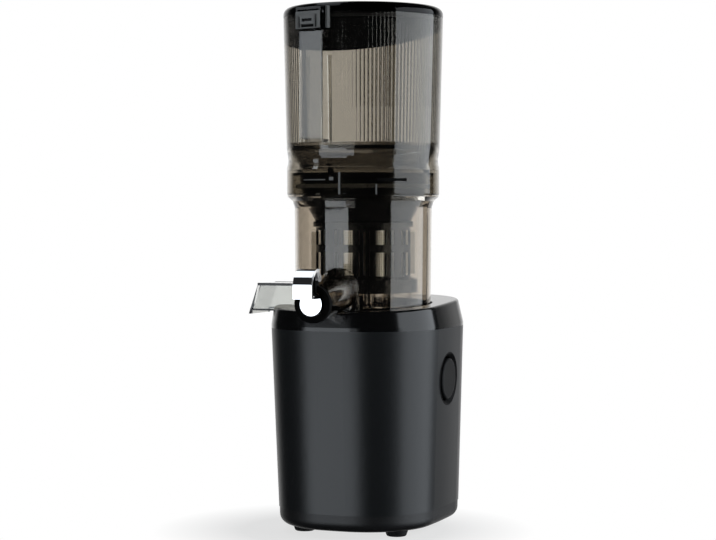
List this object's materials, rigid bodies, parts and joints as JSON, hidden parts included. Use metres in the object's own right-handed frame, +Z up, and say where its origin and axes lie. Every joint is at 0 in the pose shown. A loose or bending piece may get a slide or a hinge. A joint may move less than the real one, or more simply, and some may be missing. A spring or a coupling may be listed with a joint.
{
  "type": "cold press juicer",
  "caption": "Upright cold press juicer: charcoal motor base, clear juicing bowl with spout, chute and chrome cap, tall smoky hopper with hinged lid.",
  "frame": {"origin": "on the table under the middle of the whole juicer's box", "axes": "+Z up along the drive axis, -Y the front with the juice spout, -X the side with the pulp chute"},
  "size_m": [0.202, 0.28, 0.519],
  "materials": {
    "charcoal_shell": "satin",
    "gloss_black": "gloss",
    "black_plastic": "matte",
    "rubber": "matte",
    "steel": "satin",
    "motor_metal": "satin",
    "case_metal": "satin",
    "board_green": "satin",
    "smoke_clear": "gloss",
    "smoke_dark": "gloss",
    "dark_resin": "satin",
    "chrome": "polished",
    "silicone": "satin",
    "pale_silicone": "satin",
    "white_resin": "satin"
  },
  "bodies": {
    "base": {"base_body": "charcoal_shell", "base_top_cover": "gloss_black", "base_bottom_cover": "black_plastic", "rubber_feet": "rubber", "housing_screws": "steel", "cord_gland": "rubber", "motor": "motor_metal", "gear_case": "case_metal", "shaft_bearing": "steel", "shaft_seal": "silicone", "motor_dampers": "rubber", "motor_screws": "steel", "control_board": "board_green", "switch_bezel": "black_plastic", "switch_pin": "steel", "switch_block": "black_plastic"},
    "drive": {"drive_shaft": "steel"},
    "switch": {"switch_rocker": "charcoal_shell"},
    "bowl": {"juicing_bowl": "smoke_clear", "bowl_floor": "smoke_clear", "juice_spout": "smoke_clear", "pulp_chute": "smoke_clear", "duct_cover": "smoke_clear", "idler_pins": "steel", "bowl_seal": "silicone", "spout_ring": "silicone", "cap_pin": "steel", "strainer": "dark_resin", "strainer_screen": "steel"},
    "cap": {"smart_cap": "chrome", "cap_plug": "silicone"},
    "screw": {"auger": "dark_resin", "auger_bush": "steel", "feed_blade": "dark_resin"},
    "idler_a": {"idler_gear_1": "white_resin"},
    "idler_b": {"idler_gear_2": "white_resin"},
    "wiper": {"wiper_frame": "dark_resin", "wiper_blades": "pale_silicone"},
    "hopper": {"hopper_throat": "dark_resin", "hopper_seal": "pale_silicone", "hopper_collar": "smoke_clear", "hopper_floor": "smoke_dark", "hopper_drum": "smoke_clear", "hinge_column": "dark_resin", "lid_hinge_pin": "steel"},
    "lid_set": {"lid": "smoke_dark", "lid_skirt": "smoke_dark", "lid_seal": "silicone", "latch_pin": "steel"},
    "latch": {"lid_latch": "dark_resin"}
  },
  "joints": [
    {"name": "bowl_lift", "type": "slide", "parent": "base", "child": "bowl", "axis": [0, 0, 1], "range_m": [0, 0.07]},
    {"name": "hopper_lift", "type": "slide", "parent": "bowl", "child": "hopper", "axis": [0, 0, 1], "range_m": [0, 0.1]},
    {"name": "lid_hinge", "type": "hinge", "parent": "hopper", "child": "lid_set", "pos_m": [0.014, 0.104, 0.507], "axis": [-1, 0, 0], "range_deg": [0, 100]},
    {"name": "latch_swing", "type": "hinge", "parent": "lid_set", "child": "latch", "pos_m": [-0.00932, -0.06332, 0.509], "axis": [-0.9613, 0.2756, 0], "range_deg": [0, 25], "stiffness_Nm_per_rad": 0.01},
    {"name": "auger_spin", "type": "hinge", "parent": "bowl", "child": "screw", "pos_m": [0.014, 0.018, 0.28], "axis": [0, 0, 1], "continuous": true},
    {"name": "shaft_spin", "type": "hinge", "parent": "base", "child": "drive", "pos_m": [0.014, 0.018, 0.2], "axis": [0, 0, 1], "continuous": true},
    {"name": "idler_a_spin", "type": "hinge", "parent": "bowl", "child": "idler_a", "pos_m": [0.03087, 0.04723, 0.239], "axis": [0, 0, 1], "continuous": true},
    {"name": "idler_b_spin", "type": "hinge", "parent": "bowl", "child": "idler_b", "pos_m": [0.03087, -0.01123, 0.239], "axis": [0, 0, 1], "continuous": true},
    {"name": "wiper_spin", "type": "hinge", "parent": "bowl", "child": "wiper", "pos_m": [0.014, 0.018, 0.27], "axis": [0, 0, 1], "continuous": true},
    {"name": "cap_hinge", "type": "hinge", "parent": "bowl", "child": "cap", "pos_m": [0.014, -0.1165, 0.255], "axis": [-1, 0, 0], "range_deg": [0, 95]},
    {"name": "switch_tilt", "type": "hinge", "parent": "base", "child": "switch", "pos_m": [0.09032, 0.033, 0.1516], "axis": [0, 1, 0], "range_deg": [-8, 8]}
  ],
  "couplings": [
    {"joint": "shaft_spin", "follows": "auger_spin", "ratio": 1},
    {"joint": "idler_a_spin", "follows": "auger_spin", "ratio": -1.1429},
    {"joint": "idler_b_spin", "follows": "auger_spin", "ratio": -1.1429},
    {"joint": "wiper_spin", "follows": "auger_spin", "ratio": -0.36364}
  ]
}
